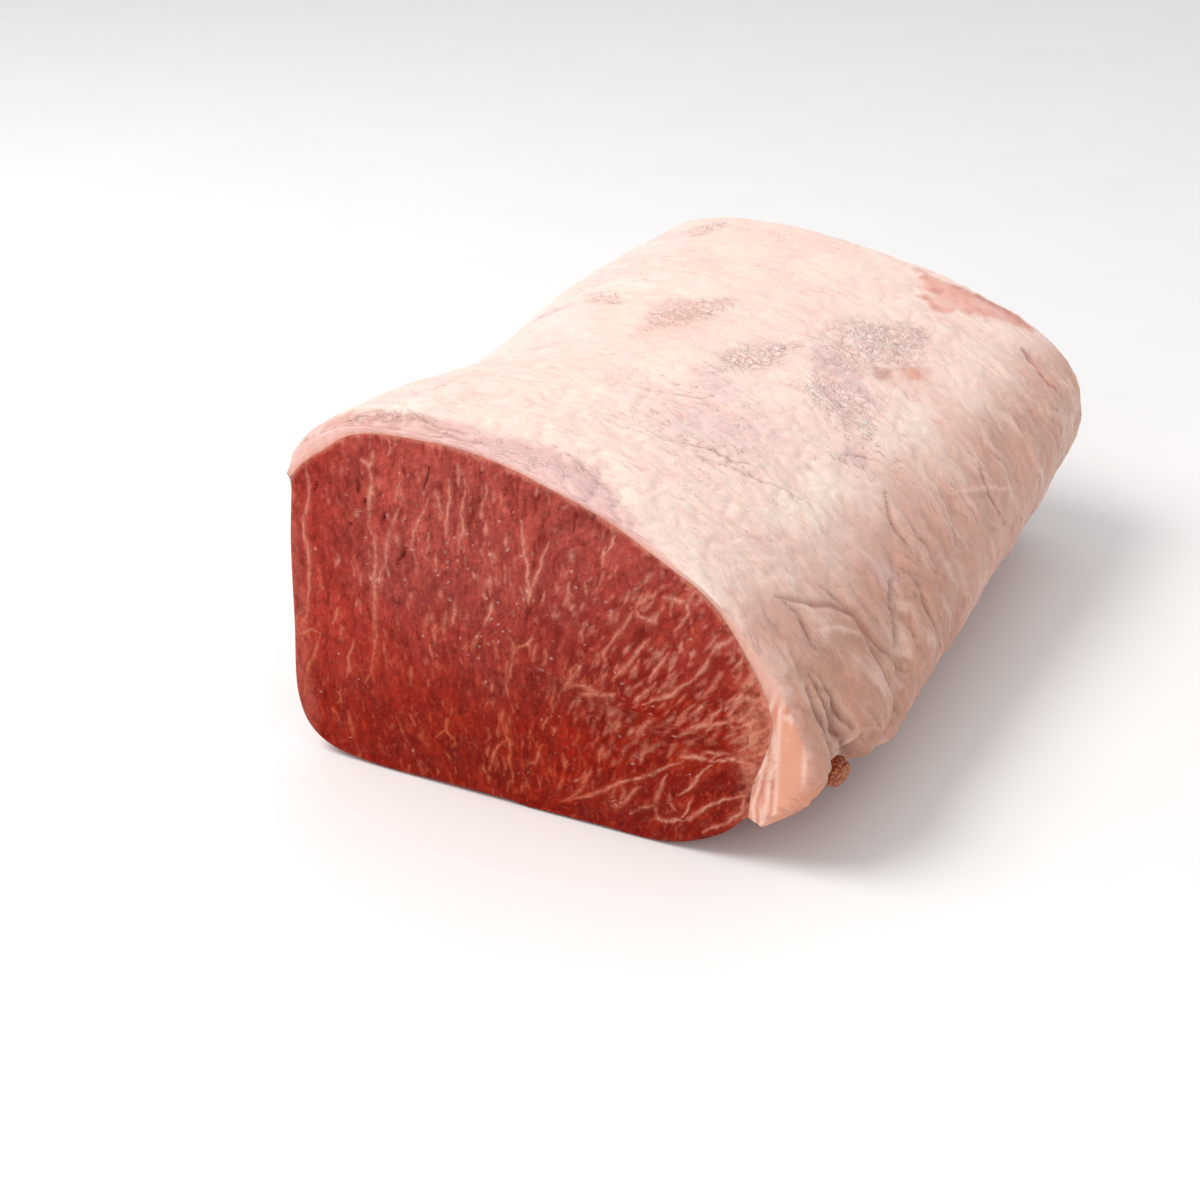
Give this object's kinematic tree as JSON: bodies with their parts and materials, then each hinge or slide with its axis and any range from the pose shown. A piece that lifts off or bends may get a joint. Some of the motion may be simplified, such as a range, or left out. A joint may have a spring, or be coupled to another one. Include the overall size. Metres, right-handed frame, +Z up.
{
  "type": "raw pork loin",
  "caption": "Raw boneless pork loin joint, cut straight across at both ends, with a fat cap over its top and right side and a side muscle along its lower edge.",
  "frame": {"origin": "centre of the bounding box's bottom, on the surface that the loin lies on", "axes": "+Y runs along the loin from the shown cut to the far one, +Z is up through the fat cap, +X points to the side that the fat covers"},
  "size_m": [0.1115, 0.1665, 0.0714],
  "materials": {
    "fat": "soft and moist, cream to peach pink",
    "lean": "wet raw meat, pinkish red with pale marbling",
    "dark_lean": "wet raw meat, brick red with pale seams",
    "gland": "moist, brown and grainy"
  },
  "bodies": {
    "root": {"fat_cap": "fat", "eye_of_loin": "lean", "side_muscle": "dark_lean", "gland": "gland"}
  },
  "joints": []
}
